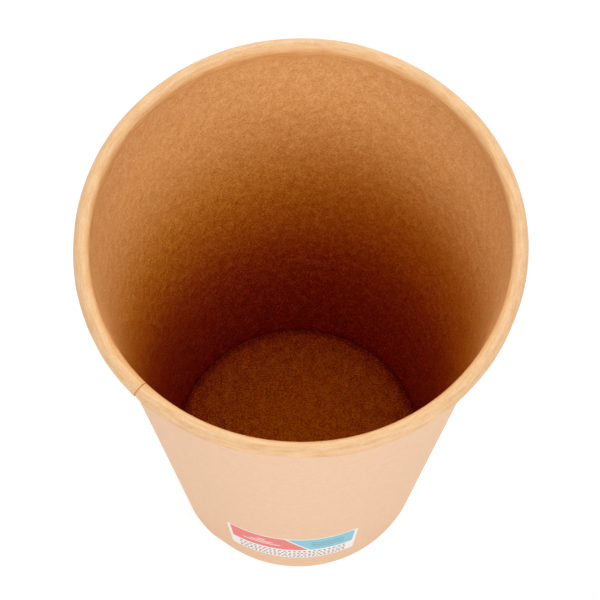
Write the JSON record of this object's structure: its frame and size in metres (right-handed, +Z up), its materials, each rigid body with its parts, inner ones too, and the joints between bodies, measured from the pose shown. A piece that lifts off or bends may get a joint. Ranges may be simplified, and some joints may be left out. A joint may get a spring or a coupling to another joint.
{
  "type": "paper coffee cup",
  "caption": "Tapered single-wall paper cup for hot drinks, with a rolled rim, a lapped side seam, and a recessed bottom held in a folded hem.",
  "frame": {"origin": "centre of the foot, on the surface that the cup stands on", "axes": "+Z up along the cup's axis, out of its mouth; -Y is the side with the printed panel; the inner edge of the side seam lies about 226 degrees from +X towards +Y"},
  "size_m": [0.09, 0.09, 0.135],
  "materials": {
    "wall_board": "unbleached kraft board, bare and matte outside, with a thin clear coating inside",
    "bottom_board": "unbleached kraft board with a thin clear coating on top"
  },
  "bodies": {
    "root": {"sidewall": "wall_board", "bottom": "bottom_board"}
  },
  "joints": []
}
